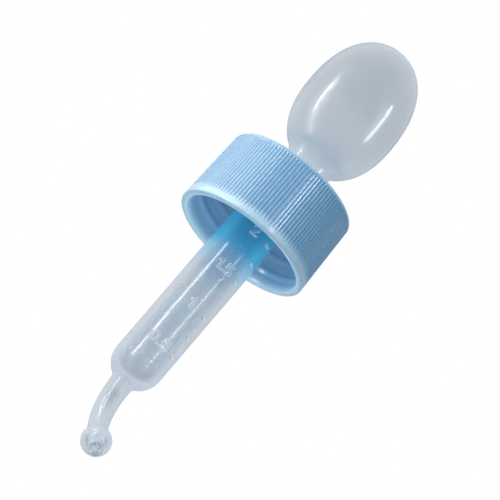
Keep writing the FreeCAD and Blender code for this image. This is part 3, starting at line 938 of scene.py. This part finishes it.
to_camera = Vector((
    math.sin(CAM_AZ) * math.cos(CAM_BELOW),
    -math.cos(CAM_AZ) * math.cos(CAM_BELOW),
    -math.sin(CAM_BELOW),
))
level_axis = Vector((math.cos(CAM_AZ), math.sin(CAM_AZ), 0))
rising_axis = to_camera.cross(level_axis)
view_right = rising_axis * math.cos(CAM_ROLL) + level_axis * math.sin(CAM_ROLL)
view_up = rising_axis * math.sin(CAM_ROLL) - level_axis * math.cos(CAM_ROLL)
aim = (level_axis * AIM_ACROSS + rising_axis * AIM_UP) * MM
camera_data = bpy.data.cameras.new("camera")
camera = bpy.data.objects.new("camera", camera_data)
scene.collection.objects.link(camera)
camera_data.sensor_width = SENSOR
camera_data.lens = SENSOR * CAM_DISTANCE / VIEW_WIDTH
camera_data.clip_start = 0.01
camera_data.clip_end = 20
placement = Matrix((view_right, view_up, to_camera)).transposed().to_4x4()
placement.translation = aim + to_camera * CAM_DISTANCE * MM
camera.matrix_world = placement
scene.camera = camera

# ----------------------------------------------------------------------- lights
LIGHT_DISTANCE = 400
WHITE = (1, 1, 1)
BULB_AIM, TUBE_AIM, CAP_AIM = (0, 0, 33), (0, 0, -8), (0, 0, 8)

lit = {}
for key, pieces in (
    ("bulb", [bulb]), ("tube", [barrel]), ("cap", [cap]), ("body", [cap, washer]),
):
    lit[key] = bpy.data.collections.new("lit_" + key)
    for piece in pieces:
        lit[key].objects.link(piece)


def area_light(name, shape, power, receivers):
    data = bpy.data.lights.new(name, "AREA")
    data.shape = shape
    data.energy = power
    ob = bpy.data.objects.new(name, data)
    scene.collection.objects.link(ob)
    ob.light_linking.receiver_collection = lit[receivers]
    return ob


def softbox(name, az, el, width, height, power, target, receivers, color=WHITE):
    """A rectangle facing the target, at azimuth az from -Y to +X and elevation el (degrees)."""
    az, el = math.radians(az), math.radians(el)
    away = Vector((math.sin(az) * math.cos(el), -math.cos(az) * math.cos(el), math.sin(el)))
    ob = area_light(name, "RECTANGLE", power, receivers)
    ob.data.size = width * MM
    ob.data.size_y = height * MM
    ob.data.color = color
    ob.location = Vector(target) * MM + away * LIGHT_DISTANCE * MM
    ob.rotation_mode = "QUATERNION"
    across = Vector((0, 0, 1)).cross(away).normalized()
    turned = Matrix((across, away.cross(across), away)).transposed()
    ob.rotation_quaternion = turned.to_quaternion()
    return ob


# name, azimuth, elevation, width, height, power, target, receivers, colour if not white
GLINTS = (
    ("bulb_key_strip_a", -73.5, -19, 10, 700, 1.30, BULB_AIM, "bulb"),
    ("bulb_key_strip_b", -67, -19, 4, 700, 0.50, BULB_AIM, "bulb"),
    ("bulb_rim_strip", 64, 15, 50, 250, 0.32, BULB_AIM, "bulb"),
    ("bulb_low_strip", 104, -30, 22, 180, 0.10, BULB_AIM, "bulb"),
    ("body_key_strip", -45, 0, 50, 1100, 1.40, TUBE_AIM, "tube"),
    ("body_thin_strip", 36, 0, 15, 1100, 0.60, TUBE_AIM, "tube"),
    ("tip_strip", -72, 40, 24, 160, 0.16, (6, -3, -42), "tube"),
    ("cap_side_box", -80, 24, 640, 340, 3.4, CAP_AIM, "cap", (1.0, 0.96, 0.91)),
    ("cap_lip_spot", -58, -2, 30, 110, 2.6, (0, 0, 1), "cap"),
    ("cap_key_strip", -42, 24, 9, 100, 0.07, CAP_AIM, "cap"),
    ("cap_glint_strip", 24, 23, 16, 90, 0.50, CAP_AIM, "cap"),
)
for glint in GLINTS:
    softbox(*glint).visible_diffuse = False
cap_fill = softbox(
    "cap_fill_box", az=-40, el=24, width=300, height=300, power=1.5,
    target=CAP_AIM, receivers="cap", color=(1.0, 0.965, 0.92),
)
cap_fill.visible_glossy = False
bulb_fill = softbox(
    "bulb_fill_box", az=40, el=72, width=300, height=300, power=0.8,
    target=BULB_AIM, receivers="bulb",
)
bulb_fill.visible_glossy = False
bulb_fill.visible_transmission = False

# light that comes up through the cap's mouth and its thin walls
mouth_fill = area_light("mouth_fill", "DISK", power=0.0022, receivers="body")
mouth_fill.data.size = 22 * MM
mouth_fill.location = (0, 0, -0.004)
mouth_fill.rotation_euler = (PI, 0, 0)

# light gathered by the ball at the tip
from_ball = Vector((2, -17, -9))
ball_centre = Vector(centre_line(np.array([BALL_AT]))[0][0])
ball_fill = area_light("ball_fill", "DISK", power=0.0011, receivers="tube")
ball_fill.data.size = 16 * MM
ball_fill.location = (ball_centre + from_ball) * MM
ball_fill.rotation_mode = "QUATERNION"
ball_fill.rotation_quaternion = from_ball.to_track_quat("Z", "Y")
for fill in (mouth_fill, ball_fill):
    fill.visible_camera = False
    fill.visible_glossy = False
    fill.visible_transmission = False


# ------------------------------------------------------------------------ world
def toward(tree, direction, span):
    """0 to 1 as a ray's direction turns towards the given one."""
    ray = add_node(tree, "ShaderNodeTexCoord").outputs["Generated"]
    inputs = {0: ray, 1: tuple(direction)}
    dot = add_node(tree, "ShaderNodeVectorMath", inputs, operation="DOT_PRODUCT")
    return remap(tree, dot.outputs["Value"], span, kind="SMOOTHSTEP")


def make_world():
    """Grey studio: one side brighter, a darker backdrop behind the object, white to the camera."""
    world = bpy.data.worlds.new("studio")
    scene.world = world
    world.use_nodes = True
    tree = world.node_tree
    tree.nodes.clear()
    brighter = toward(tree, -level_axis, span=(-0.9, 0.9))
    studio = mix(tree, brighter, (0.60, 0.65, 0.71), (0.77, 0.80, 0.84))
    behind = toward(tree, -to_camera, span=(0.78, 0.985))
    studio = mix(tree, behind, studio, (0.40, 0.475, 0.535))
    seen = add_node(tree, "ShaderNodeLightPath").outputs["Is Camera Ray"]
    light = add_node(tree, "ShaderNodeBackground", {"Color": mix(tree, seen, studio, WHITE)})
    add_node(tree, "ShaderNodeOutputWorld", {"Surface": light.outputs["Background"]})


make_world()

# ------------------------------------------------------------------------ floor
FLOOR_HALF, FLOOR_GAP = 3.0, 0.0006  # metres


def make_floor():
    """Pale floor just under the object, clear when seen from below."""
    made, tree = new_material("pale_floor")
    pale = add_node(tree, "ShaderNodeBsdfDiffuse", {"Color": (0.93, 0.93, 0.93)})
    clear = add_node(tree, "ShaderNodeBsdfTransparent")
    below = add_node(tree, "ShaderNodeNewGeometry").outputs["Backfacing"]
    inputs = {0: below, 1: pale.outputs["BSDF"], 2: clear.outputs["BSDF"]}
    finish_surface(tree, "ShaderNodeMixShader", inputs)
    z = cad_box[0].z - FLOOR_GAP
    corners = [(x * FLOOR_HALF, y * FLOOR_HALF, z) for x, y in ((-1, -1), (1, -1), (1, 1), (-1, 1))]
    mesh = bpy.data.meshes.new("pale_floor")
    mesh.from_pydata(corners, [], [(0, 1, 2, 3)])
    mesh.materials.append(made)
    ob = bpy.data.objects.new("pale_floor", mesh)
    scene.collection.objects.link(ob)
    ob.visible_shadow = False


make_floor()

# ----------------------------------------------------------------------- render
scene.view_settings.view_transform = "Standard"
scene.view_settings.look = "None"
scene.cycles.max_bounces = 16
scene.cycles.transmission_bounces = 16
scene.cycles.transparent_max_bounces = 16
scene.cycles.use_denoising = True
